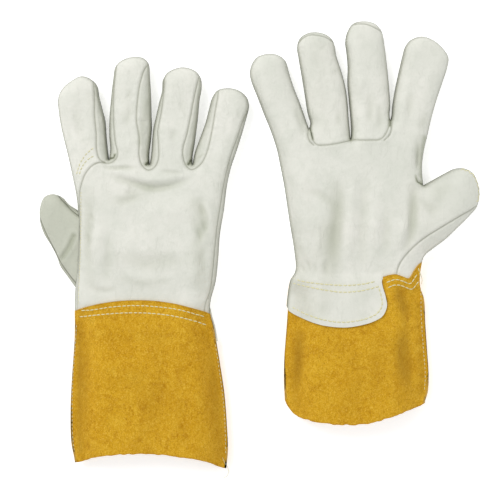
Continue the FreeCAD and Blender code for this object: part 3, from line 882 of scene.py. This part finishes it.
# ---- stitches ----------------------------------------------------------------------------
def stitches(name, rows, surface, pitch=3.8, length=3.1, radius=0.45, slant=0.0, loose=()):
    """Rows of thread: each stitch is a small bent cord that dips into the leather at its ends."""
    steps, sides = 6, 6
    cords = []
    for number, row in enumerate(rows):
        line = smooth(row, 0.5)
        run = np.concatenate([[0], np.cumsum(np.linalg.norm(np.diff(line, axis=0), axis=1))])
        rng = np.random.default_rng(len(name) + number)
        for k in range(int(run[-1] / pitch)):
            start = (k + 0.5) * pitch + rng.uniform(-0.2, 0.2)
            t = np.linspace(start - length / 2, start + length / 2, steps)
            flat = np.stack([np.interp(t, run, line[:, 0]), np.interp(t, run, line[:, 1])], 1)
            turn = rng.uniform(-0.1, 0.1) + slant * (-1) ** k
            flat = (flat - flat.mean(0)) @ np.array([[1, turn], [-turn, 1]]) + flat.mean(0)
            arch = np.sin(np.linspace(0, math.pi, steps))
            cords.append((np.column_stack([flat, surface(flat) - 0.2 + 0.5 * arch]),
                          radius * (0.75 + 0.25 * arch)))
    for cord in loose:
        path = np.array(cord, float)
        t = np.linspace(0, len(path) - 1, 16)
        k = np.arange(len(path))
        cords.append((np.stack([np.interp(t, k, path[:, n]) for n in range(3)], 1),
                      np.full(16, radius * 0.8)))
    points, faces, twist = [], [], []
    for path, thick in cords:
        tangent = np.gradient(path, axis=0)
        tangent /= np.linalg.norm(tangent, axis=1)[:, None]
        across = np.cross(tangent, [0, 0, 1.0])
        across /= np.linalg.norm(across, axis=1)[:, None]
        rise = np.cross(across, tangent)
        base = len(points)
        for k in range(len(path)):
            for j in range(sides):
                angle = j * 2 * math.pi / sides
                points.append(path[k] + thick[k] * (across[k] * math.cos(angle)
                                                    + rise[k] * math.sin(angle)))
                twist.append(math.sin(k * 2.0 + angle))
        for k in range(len(path) - 1):
            for j in range(sides):
                a = base + k * sides + j
                b = base + k * sides + (j + 1) % sides
                faces.append((b, a, a + sides, b + sides))
        faces.append(tuple(base + j for j in range(sides)))
        faces.append(tuple(base + (len(path) - 1) * sides + j for j in reversed(range(sides))))
    mesh = bpy.data.meshes.new(name)
    mesh.from_pydata((np.array(points) * MM).tolist(), [], faces)
    mesh.attributes.new("twist", "FLOAT", "POINT").data.foreach_set("value", twist)
    mesh.shade_smooth()
    mesh.materials.append(MATERIALS["thread"])
    piece = bpy.data.objects.new(name, mesh)
    bpy.context.scene.collection.objects.link(piece)
    return piece


# ---- palm-down glove ---------------------------------------------------------------------
DOWN_TONGUE = [(-45, -83), (-60, -87), (-80, -89.8), (-96, -89), (-110, -84.4), (-118, -74),
               (-119.5, -60), (-119, -51), (-121.5, -51), (-121.5, -66)]
DOWN_THUMB = [(-149.7, 28), (-153, 30), (-158.5, 33.5), (-164, 39.5), (-172, 42.3),
              (-179, 39.8), (-182.6, 31), (-182.6, 20), (-179, 9), (-173, -1), (-168, -11),
              (-165.5, -18), (-160.5, -25), (-154, -34), (-151.5, -37)]
DOWN_THUMB_ROOT = [(-151.2, -27), (-149.6, -4), (-149.2, 21)]
DOWN_THUMB_SEAMS = [[(-170, 44), (-166, 39.3), (-160, 33), (-155, 28), (-147, 22)],
                    [(-184, 27), (-180.6, 18), (-175.8, 7), (-169.5, -5), (-164.5, -15),
                     (-156, -27), (-150, -34)]]
DOWN_THUMB_FOLD = [(-153.5, 7), (-158, -3), (-163.5, -11)]


def build_down():
    glove = Glove(PALM_DOWN, DOWN_SEAMS, DOWN_FOLDS + DOWN_CUFF_FOLDS, DOWN_SHADE_PATCHES)
    wrist_cut = glove.wrist + 6
    seams = glove.seams
    upper_loop = bag_loop(glove, -66, -66, [])
    under_loop = bag_loop(glove, -66, -80, DOWN_TONGUE)
    cuts = glove.root_cuts() + [straight((-190, wrist_cut), (10, wrist_cut))]

    def label(points, is_upper):
        finger = glove.finger_of(points)
        right = np.where(finger == 1, glove.right_of_finger(points, "middle"),
                         glove.right_of_finger(points, "ring"))
        fork = np.zeros(len(points), bool)
        for key in ("index_fork", "middle_fork", "ring_fork"):
            fork |= inside(points, seams[key])
        fork &= is_upper
        palm = ~is_upper | left_of(seams["thumb_edge"], points)
        palm |= ~left_of(seams["little_edge"], points)
        which = np.array(FINGERS)[finger]
        webs = np.select([which == "index", which == "little", (which == "middle") & right,
                          which == "middle", right],
                         ["index_fourchette", "little_fourchette", "middle_fourchette_ring_side",
                          "middle_fourchette_index_side", "ring_fourchette_little_side"],
                         "ring_fourchette_middle_side")
        skin = np.char.add(which, np.where(palm, "_front", "_back"))
        skin = np.where(which == "index", "index_wrap", skin)
        hand = np.where(fork, "fourchette_forks", np.where(palm, "palm", "hand_back"))
        end = np.where(palm, "palm_end", "hand_back_end")
        end = np.where(~is_upper & (points[:, 0] > -120.3), "palm_tongue", end)
        names = np.where(glove.on_finger(points), np.where(fork, webs, skin), hand)
        return np.where(points[:, 1] < wrist_cut, end, names)

    def tucked(points):
        return ease(0.5, 3.5, below(glove.cuff_top, points))

    def top_at(points):
        hidden = tucked(points)
        return layered(glove, points, glove.top_height(points) - 0.5 * hidden, hidden, 0)

    def under_at(points):
        outside = ease(wrist_cut - 4, wrist_cut - 14, points[:, 1]) * (points[:, 0] > -120.3)
        hidden = tucked(points) * (points[:, 0] < -120.3)
        return layered(glove, points, glove.under_height(points, hidden), hidden, outside)

    above_wrist = upper_loop[upper_loop[:, 1] > glove.wrist - 3]
    hand_pieces(glove, upper_loop, under_loop, above_wrist, cuts, top_at, under_at, label)

    def cuff_top_z(points):
        return glove.top_height(points, seams=False) + 1.8 * ease(-82, -68, points[:, 1])

    def cuff_under_z(points):
        on_tongue = ease(-123, -119.5, points[:, 0]) * ease(-94, -88, points[:, 1])
        return glove.under_height(points) + 1.7 * on_tongue

    cuff_pieces(glove, lambda p: shorter_mouth(glove, p, cuff_top_z(p)),
                lambda p: np.column_stack([p, cuff_under_z(p)]))

    outer = smooth(DOWN_THUMB)
    loop = np.vstack([outer, smooth(DOWN_THUMB_ROOT, 1.6)])
    lines = [smooth(points) for points in DOWN_THUMB_SEAMS]
    fold_line = smooth(DOWN_THUMB_FOLD)

    def thumb_top(points):
        edge, _ = to_line(points, outer)
        bulge = np.sqrt(1 - (1 - np.clip(edge / 13, 0, 1)) ** 2.3)
        z = 7 + 7.5 * bulge + 0.3 * ripple(points, 14, 9) * bulge
        gap, _ = to_line(points, fold_line)
        z += -1.2 * np.exp(-(gap / 1.6) ** 2) + 0.7 * np.exp(-((gap - 3.5) / 2.2) ** 2)
        for line in lines:
            gap, _ = to_line(points, line)
            z += -1.0 * np.exp(-(gap / 0.8) ** 2) + 0.4 * np.exp(-((gap - 2.2) / 1.2) ** 2)
        return np.column_stack([points, z])

    def thumb_under(points):
        edge, _ = to_line(points, outer)
        flat = np.sqrt(1 - (1 - np.clip(edge / 8, 0, 1)) ** 2.2)
        return np.column_stack([points, 7 * (1 - flat) + 0.3 * flat])

    def thumb_shade(points):
        # Painted shade: darker at the thumb's outline, in its seam grooves and along its fold; the
        # whole thumb is drawn darker as well.
        dark = 0.9 * np.exp(-(to_line(points, outer)[0] / 1.6) ** 2)
        for line in lines:
            dark = np.maximum(dark, np.exp(-(to_line(points, line)[0] / 0.9) ** 2))
        fold = np.exp(-(to_line(points, fold_line)[0] / 2.4) ** 2)
        return dark, 0.5 + 0.25 * fold

    def thumb_label(points, is_upper):
        middle = is_upper & (below(lines[0], points) > 0)
        along = left_of(lines[1], points)
        return np.where(middle & ~along, "thumb_back", "thumb_front")

    upper = flat_mesh(loop, lines, TOP_MESH, True)
    under = flat_mesh(loop, [], UNDER_MESH, True)
    thumb = skins(glove, upper, under, outer, thumb_top, thumb_under, thumb_shade, thumb_label,
                  "grain")
    for piece in thumb.values():
        bend(glove, piece, "thumb", (-151, 0, 20), (-166, 0, 20))

    rows = [[(-147, -54), (-138, -53.4), (-122, -51), (-104, -49.8), (-88, -50.4), (-66, -53.2),
             (-45, -59.4)],
            [(-149, -59.5), (-132.4, -57.4), (-112, -55.8), (-90.9, -56.0), (-70, -58.4),
             (-54, -62.5), (-41, -67.5)]]
    wrist = stitches("palmdown_wrist_thread", rows, lambda p: glove.top_height(p) + 1.7)
    bend_at_wrist(glove, wrist)
    side_rows = [[(-151.6, -66), (-153.2, -88), (-154.8, -112), (-155.4, -136), (-154.8, -160),
                  (-153, -174)],
                 [(-36.6, -82), (-33.4, -104), (-30.4, -126), (-28.6, -150), (-28, -176)]]
    tail = [(-30.6, -176, 13.5), (-28.6, -181, 13.0), (-26.6, -184, 10), (-25.4, -189, 6),
            (-27, -193, 3), (-30, -195, 1.2)]
    seam = stitches("palmdown_cuff_side_thread", side_rows, cuff_top_z, pitch=3.4, length=2.2,
                    radius=0.24, loose=[tail])
    bend_at_wrist(glove, seam)
    rows = [[(-136.6, 80), (-143.3, 74), (-147.9, 66.5), (-151, 57.5)],
            [(-136.4, 73.4), (-141.6, 70), (-146, 64.3), (-148.9, 56.4)]]
    hand = stitches("palmdown_hand_side_thread", rows, glove.top_height, pitch=3.4, length=2.4,
                    radius=0.34)
    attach(hand, "palmdown_hand")
    rows = [[(-147, 44), (-147.3, 24.5), (-147.5, 0), (-148.7, -30), (-149.6, -50)]]
    chain = stitches("palmdown_thumb_seam_thread", rows, glove.top_height, pitch=2.6, length=1.7,
                     radius=0.24)
    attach(chain, "palmdown_hand")


# ---- palm-up glove -----------------------------------------------------------------------
UP_TONGUE = [(105.2, -40), (101.6, -27.6), (100.2, -29), (100.8, -34), (103.3, -43),
             (104.2, -50.6), (100.6, -58.4), (94, -62.4), (87.6, -64.7), (71, -67.6),
             (54.4, -66.4), (44, -63.8), (34, -59.8), (28.4, -57), (25, -54.4)]


def build_up():
    sides = {}
    for finger in ("ring", "middle"):
        up, _, down = PALM_UP[finger]
        sides[finger + "_left"] = beside(smooth(up), 1.1)
        sides[finger + "_right"] = beside(smooth(down), 1.1)
    sides["little_right"] = beside(smooth(PALM_UP["little"][2]), 1.1)
    sides["index_left"] = beside(smooth(PALM_UP["index"][0]), 1.1)
    glove = Glove(PALM_UP, UP_SEAMS, UP_FOLDS + UP_CUFF_FOLDS, UP_SHADE_PATCHES)
    wrist_cut = glove.wrist + 6
    seams = glove.seams
    upper_loop = bag_loop(glove, -50.5, -40, UP_TONGUE)
    under_loop = bag_loop(glove, -40, -40, [])
    cuts = glove.root_cuts() + [straight((-20, wrist_cut), (200, wrist_cut))]
    thumb_cut = straight((134.2, -17), PALM_UP["thumb_crotch"])
    cuts.append(thumb_cut)

    def label(points, is_upper):
        finger = glove.finger_of(points)
        y = points[:, 1]
        which = np.array(PALM_UP["order"])[finger]
        wider = np.column_stack([np.where(is_upper, 0, 4.5), np.zeros(len(points))])
        ring_left = left_of(sides["ring_left"], points - wider)
        ring_right = ~left_of(sides["ring_right"], points + wider)
        middle_left = left_of(sides["middle_left"], points - wider)
        middle_right = ~left_of(sides["middle_right"], points + wider)
        little_right = ~left_of(sides["little_right"], points + wider)
        index_left = left_of(sides["index_left"], points - wider)
        tip = np.where(which == "ring", below(seams["ring_tip"], points),
                       below(seams["middle_tip"], points)) < 0
        tip &= y > 150
        skin = np.char.add(which, np.where(is_upper, "_front", "_back"))
        skin = np.where(which == "index", "index_wrap", skin)
        ring, middle = which == "ring", which == "middle"
        base = seams["finger_base"]
        web_one = inside(points, np.vstack([seams["web_one"], base[base[:, 0] < 46][::-1]]))
        web_two = inside(points, np.vstack([seams["web_two"], base[base[:, 0] > 101]]))
        web = is_upper & (web_one | web_two)
        body = y < 165
        strip = [(ring & tip & is_upper, "ring_back"), (middle & tip & is_upper, "middle_back"),
                 (ring & ((ring_left & body) | web), "ring_fourchette_little_side"),
                 (ring & ring_right & body, "ring_fourchette_middle_side"),
                 (middle & middle_left & body, "middle_fourchette_ring_side"),
                 (middle & ((middle_right & body) | web), "middle_fourchette_index_side"),
                 ((which == "little") & ((little_right & (y < 150)) | web), "little_fourchette"),
                 ((which == "index") & ((index_left & (y < 163)) | web), "index_fourchette")]
        fingers = np.select([test for test, _ in strip], [name for _, name in strip], skin)
        over_base = is_upper & (below(seams["finger_base"], points) < 0)
        over_base &= (points[:, 0] > 42) & (points[:, 0] < 107.6)
        web |= over_base & (np.abs(points[:, 0] - 75.5) < 1.6)
        hand = np.where(is_upper, "palm", "hand_back")
        hand = np.where(over_base, np.where(ring, "ring_front_root", "middle_front_root"), hand)
        hand = np.where(web, "fourchette_forks", hand)
        thumb_strip = is_upper & (points[:, 0] > 112.5) & (below(seams["thumb_join"], points) > 0)
        hand = np.where(thumb_strip, "thumb_back_root", hand)
        thumb = ~left_of(thumb_cut, points) & (y > -17) & (y < 68) & (points[:, 0] > 134)
        thumb &= (y < 49.5) | (points[:, 0] > 136)
        front = is_upper & (below(seams["thumb_join"], points) < 0)
        hand = np.where(thumb, np.where(front, "thumb_front", "thumb_back"), hand)
        end = np.where(is_upper & (points[:, 0] < 104.8), "palm_tongue",
                       np.where(is_upper, "palm_end", "hand_back_end"))
        names = np.where(glove.on_finger(points), fingers, hand)
        return np.where(y < wrist_cut, end, names)

    slit = np.array([(100.9, -20), (101.2, -29), (102.4, -36), (104.6, -43), (107, -52), (107, -90)])

    def outer_layer(points):
        """1 where the tongue lies over the cuff, 0 where the cuff laps over the hand."""
        line_x = np.interp(-points[:, 1], -slit[:, 1], slit[:, 0])
        return ease(line_x + 0.9, line_x - 0.9, points[:, 0])

    def tucked(points):
        return ease(0.5, 3.5, below(glove.cuff_top, points)) * (1 - outer_layer(points))

    def top_at(points):
        over = outer_layer(points) * ease(-23, -30, points[:, 1])
        hidden = tucked(points)
        z = glove.top_height(points) + 2.0 * over - 0.5 * hidden
        return layered(glove, points, z, hidden, over)

    def under_at(points):
        hidden = ease(0.5, 3.5, -24 - points[:, 1])
        return layered(glove, points, glove.under_height(points, hidden), hidden, 0)

    above_wrist = upper_loop[upper_loop[:, 1] > glove.wrist + 2]
    hand_pieces(glove, upper_loop, under_loop, above_wrist, cuts, top_at, under_at, label)

    def cuff_top_z(points):
        lap = 1.7 * (1 - outer_layer(points)) * ease(-56, -44, points[:, 1])
        return glove.top_height(points, seams=False) + lap

    cuff_pieces(glove, lambda p: shorter_mouth(glove, p, cuff_top_z(p)),
                lambda p: np.column_stack([p, glove.under_height(p)]))

    def tongue_z(points):
        return top_at(points)[:, 2]

    rows = [[(27, -27), (33, -29.4), (50, -32), (71, -33.2), (83, -32.4), (97.4, -29.4)],
            [(27, -31.4), (36, -33.6), (54.4, -37.2), (68, -38.8), (83.4, -37.6), (98, -34)]]
    wrist = stitches("palmup_wrist_thread", rows, tongue_z)
    bend_at_wrist(glove, wrist)
    rows = [[(27, -51.5), (36, -56), (50, -60.8), (64, -63.2), (76, -62.8), (88, -60.2),
             (96.4, -55.8), (100.2, -49.6), (99.6, -42), (97.6, -35)]]
    edge = stitches("palmup_tongue_thread", rows, tongue_z)
    bend_at_wrist(glove, edge)
    rows = [[(104, -30.8), (111.3, -28.4), (117.6, -29.8), (123.8, -31.8), (128.4, -26),
             (132, -21.4)],
            [(105, -35), (111.6, -32.8), (118, -34), (125.6, -36.4), (130.6, -31), (133.4, -27)],
            [(130.6, -19), (132.4, -24), (133.2, -29)]]
    side = stitches("palmup_cuff_top_thread", rows, cuff_top_z)
    rows = [[(133.6, -36), (134.2, -60), (136, -88), (137.4, -108), (136.4, -124)]]
    tail = [(132.2, -21.5, 12.6), (133.8, -25, 12.4), (134.9, -29, 11.8), (134.3, -32.5, 11.2)]
    close = stitches("palmup_cuff_side_thread", rows, cuff_top_z, pitch=3.4, length=2.2,
                     radius=0.26, loose=[tail])
    bend_at_wrist(glove, close)
    bend_at_wrist(glove, side)
    rows = [[(166, 62.6), (172, 61.2), (177.2, 56.6), (180.2, 50), (181.2, 42), (179.6, 35.4)]]
    tip = stitches("palmup_thumb_tip_thread", rows, glove.top_height, pitch=2.2, length=2.2,
                   radius=0.3, slant=0.9)
    bend_at_thumb(glove, tip)


# ---- finishes ----------------------------------------------------------------------------
class Value:
    """A shader number that takes part in ordinary arithmetic."""

    def __init__(self, tree, socket):
        self.tree, self.socket = tree, socket

    def math(self, operation, *others, clamp=False):
        node = self.tree.nodes.new("ShaderNodeMath")
        node.operation = operation
        node.use_clamp = clamp
        for socket, value in zip(node.inputs, (self, *others)):
            if isinstance(value, Value):
                self.tree.links.new(value.socket, socket)
            else:
                socket.default_value = value
        return Value(self.tree, node.outputs[0])

    def __add__(self, other):
        return self.math("ADD", other)

    def __sub__(self, other):
        return self.math("SUBTRACT", other)

    def __rsub__(self, other):
        return (self * -1) + other

    def __mul__(self, other):
        return self.math("MULTIPLY", other)

    def __truediv__(self, other):
        return self.math("DIVIDE", other)

    __radd__, __rmul__ = __add__, __mul__

    def step(self, low, high):
        """0 at low, 1 at high, straight between."""
        return ((self - low) / (high - low)).math("MAXIMUM", 0).math("MINIMUM", 1)


class Finish:
    """A material being built from nodes."""

    def __init__(self, name):
        self.material = bpy.data.materials.new(name)
        self.material.use_nodes = True
        self.tree = self.material.node_tree
        self.tree.nodes.clear()
        self.output = self.node("OutputMaterial")
        self.shader = self.node("BsdfPrincipled")
        self.join(self.shader.outputs[0], self.output.inputs["Surface"])
        self.where = self.node("TexCoord").outputs["Object"]

    def join(self, output, socket):
        self.tree.links.new(output.socket if isinstance(output, Value) else output, socket)

    def node(self, kind, settings=(), **inputs):
        node = self.tree.nodes.new("ShaderNode" + kind)
        for key, value in dict(settings).items():
            setattr(node, key, value)
        for key, value in inputs.items():
            socket = node.inputs[key.replace("_", " ")]
            if hasattr(value, "links") or isinstance(value, Value):
                self.join(value, socket)
            else:
                socket.default_value = value
        return node

    def noise(self, scale, detail=3.0, rough=0.55, distort=0.0, where=None):
        made = self.node("TexNoise", Vector=where or self.where, Scale=scale, Detail=detail,
                         Roughness=rough, Distortion=distort)
        return Value(self.tree, made.outputs["Fac"])

    def cells(self, scale, feature="F1", where=None):
        made = self.node("TexVoronoi", {"feature": feature}, Vector=where or self.where, Scale=scale)
        return Value(self.tree, made.outputs["Distance"])

    def attribute(self, name):
        made = self.node("Attribute", {"attribute_name": name})
        return Value(self.tree, made.outputs["Fac"])

    def stretched(self, x, y, z):
        made = self.node("Mapping", Vector=self.where, Scale=(x, y, z))
        return made.outputs["Vector"]

    def mix(self, amount, one, other, blend="MIX"):
        node = self.tree.nodes.new("ShaderNodeMix")
        node.data_type = "RGBA"
        node.blend_type = blend
        self.join(amount, node.inputs[0])
        for socket, value in ((node.inputs[6], one), (node.inputs[7], other)):
            if isinstance(value, tuple):
                socket.default_value = (*value, 1)
            else:
                self.join(value, socket)
        return node.outputs[2]

    def finish(self, colour, roughness, height, depth, **settings):
        self.join(colour, self.shader.inputs["Base Color"])
        self.join(roughness, self.shader.inputs["Roughness"])
        bump = self.node("Bump", Height=height, Distance=depth, Strength=1.0)
        self.join(bump.outputs[0], self.shader.inputs["Normal"])
        for key, value in settings.items():
            self.shader.inputs[key.replace("_", " ")].default_value = value
        return self.material


def grain_leather():
    """Pale grey hide with a slight green cast, fine pores and soft creases, with painted shade drawn
    in the seam grooves, at the outline, in fold valleys, on the fourchettes and in the crotch holes;
    the seam lines are partly a dark joint.
    """
    f = Finish("grain_leather")
    broad = f.noise(26, 4, 0.55, 0.4)
    middle = f.noise(120, 4, 0.6, 0.8)
    streak = f.noise(150, 4, 0.6, 1.2, f.stretched(1.0, 0.35, 1.0))
    pores = f.cells(1500)
    pebble = f.noise(620, 5, 0.65, 0.4)
    wrinkle = f.cells(150, "DISTANCE_TO_EDGE", f.stretched(1.0, 0.5, 1.0)).step(0.0, 0.12)
    deep, raw, tone = f.attribute("crease"), f.attribute("raw"), f.attribute("tone")
    colour = f.mix(broad.step(0.35, 0.7), (0.70, 0.71, 0.635), (0.795, 0.79, 0.72))
    colour = f.mix(middle.step(0.45, 0.8) * 0.5, colour, (0.62, 0.64, 0.56))
    # painted shade: fold valleys, fourchettes and shade patches drawn darker and greener
    colour = f.mix(tone, colour, (0.36, 0.385, 0.275))
    colour = f.mix((1 - wrinkle) * streak.step(0.52, 0.7) * 0.22, colour, (0.50, 0.52, 0.44))
    # painted shade: darker in the seam grooves and where the leather turns away at the outline, the
    # seam line partly a dark joint; near black right at the outline
    colour = f.mix(deep * deep, colour, (0.30, 0.31, 0.23))
    colour = f.mix(deep.step(0.82, 1.0) * 0.8, colour, (0.07, 0.075, 0.05))
    # painted shade: near black in the crotch holes
    colour = f.mix(tone.step(0.75, 1.0) * 0.85, colour, (0.09, 0.095, 0.06))
    colour = f.mix(raw, colour, (0.60, 0.59, 0.50))
    height = (pores.step(0.0, 0.5) * 0.25 + pebble * 0.5 + wrinkle * streak.step(0.5, 0.7) * 0.5
              + middle * 0.8 + streak * 0.6)
    rough = 0.46 + pebble * 0.16 + raw * 0.3
    return f.finish(colour, rough, height, 0.00035, IOR=1.45, Sheen_Weight=0.08)


def split_leather():
    """Golden suede: a brushed nap with lighter and darker patches and short fibres."""
    f = Finish("split_leather")
    broad = f.noise(24, 4, 0.6, 0.8)
    patch = f.noise(85, 5, 0.65, 1.2)
    nap = f.noise(520, 6, 0.75, 0.6, f.stretched(1.0, 0.55, 1.0))
    fibre = f.noise(1900, 4, 0.7, 0.2)
    deep, raw, tone = f.attribute("crease"), f.attribute("raw"), f.attribute("tone")
    speck = f.noise(1050, 3, 0.7, 0.4)
    colour = f.mix(broad.step(0.3, 0.7), (0.62, 0.325, 0.010), (0.70, 0.395, 0.018))
    colour = f.mix(patch.step(0.50, 0.72) * 0.9, colour, (0.50, 0.235, 0.004))
    colour = f.mix(patch.step(0.46, 0.30) * 0.5, colour, (0.80, 0.50, 0.045))
    colour = f.mix(nap.step(0.52, 0.70) * 0.6, colour, (0.84, 0.54, 0.06))
    colour = f.mix(nap.step(0.48, 0.30) * 0.6, colour, (0.36, 0.155, 0.002))
    colour = f.mix(speck.step(0.53, 0.64) * 0.42, colour, (0.92, 0.62, 0.12))
    colour = f.mix(speck.step(0.47, 0.36) * 0.42, colour, (0.30, 0.12, 0.002))
    # painted shade: fold valleys and shade patches drawn darker
    colour = f.mix(tone, colour, (0.33, 0.165, 0.012))
    # painted shade: darker at the cuff's outline, upper edge and mouth
    colour = f.mix(deep * deep * 0.8, colour, (0.32, 0.14, 0.008))
    colour = f.mix(raw, colour, (0.60, 0.36, 0.07))
    height = patch * 0.5 + nap * 1.0 + speck * 0.5 + fibre * 0.3
    rough = 0.86 + fibre * 0.1
    return f.finish(colour, rough, height, 0.0006, Sheen_Weight=0.12, Sheen_Roughness=0.6,
                    Sheen_Tint=(0.95, 0.65, 0.15, 1), Specular_IOR_Level=0.1)


def thread():
    """Pale yellow sewing thread with its twist."""
    f = Finish("thread")
    twist = f.attribute("twist")
    fuzz = f.noise(2400, 3, 0.6)
    colour = f.mix(twist.step(-1, 1), (0.76, 0.71, 0.36), (0.88, 0.84, 0.55))
    return f.finish(colour, 0.6 + fuzz * 0.1, twist * 0.5 + fuzz * 0.4, 0.0003, Sheen_Weight=0.1)


def floor_finish():
    f = Finish("floor")
    grain = f.noise(60, 3)
    colour = f.mix(grain, (0.93, 0.93, 0.93), (0.94, 0.94, 0.94))
    return f.finish(colour, 0.8 + grain * 0.05, grain, 0.00002,
                    Emission_Color=(1, 1, 1, 1), Emission_Strength=0.40)


MATERIALS["grain"] = grain_leather()
MATERIALS["split"] = split_leather()
MATERIALS["thread"] = thread()
build_down()
build_up()
for node in frame["nodes"]:
    name = node if isinstance(node, str) else node["name"]
    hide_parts(name)


# ---- studio ------------------------------------------------------------------------------
def studio():
    scene = bpy.context.scene
    scene.view_settings.view_transform = "Standard"
    bpy.ops.object.select_all(action="DESELECT")
    bpy.ops.mesh.primitive_plane_add(size=30, location=(0, 0, 0))
    floor = bpy.context.object
    floor.name = "floor"
    floor.data.materials.append(floor_finish())
    world = bpy.data.worlds.new("studio") if scene.world is None else scene.world
    scene.world = world
    world.use_nodes = True
    world.node_tree.nodes["Background"].inputs["Color"].default_value = (1, 1, 1, 1)
    world.node_tree.nodes["Background"].inputs["Strength"].default_value = 0.60
    for place, size, power in STUDIO_LAMPS:
        lamp = bpy.data.lights.new("softbox", "AREA")
        lamp.size = size
        lamp.energy = power
        holder = bpy.data.objects.new("softbox", lamp)
        holder.location = place
        holder.rotation_euler = (-Vector(place)).to_track_quat("-Z", "Y").to_euler()
        scene.collection.objects.link(holder)
    camera = bpy.data.cameras.new("camera")
    camera.lens = 100
    camera.sensor_width = 36
    holder = bpy.data.objects.new("camera", camera)
    holder.location = CAMERA_PLACE
    scene.collection.objects.link(holder)
    scene.camera = holder


studio()
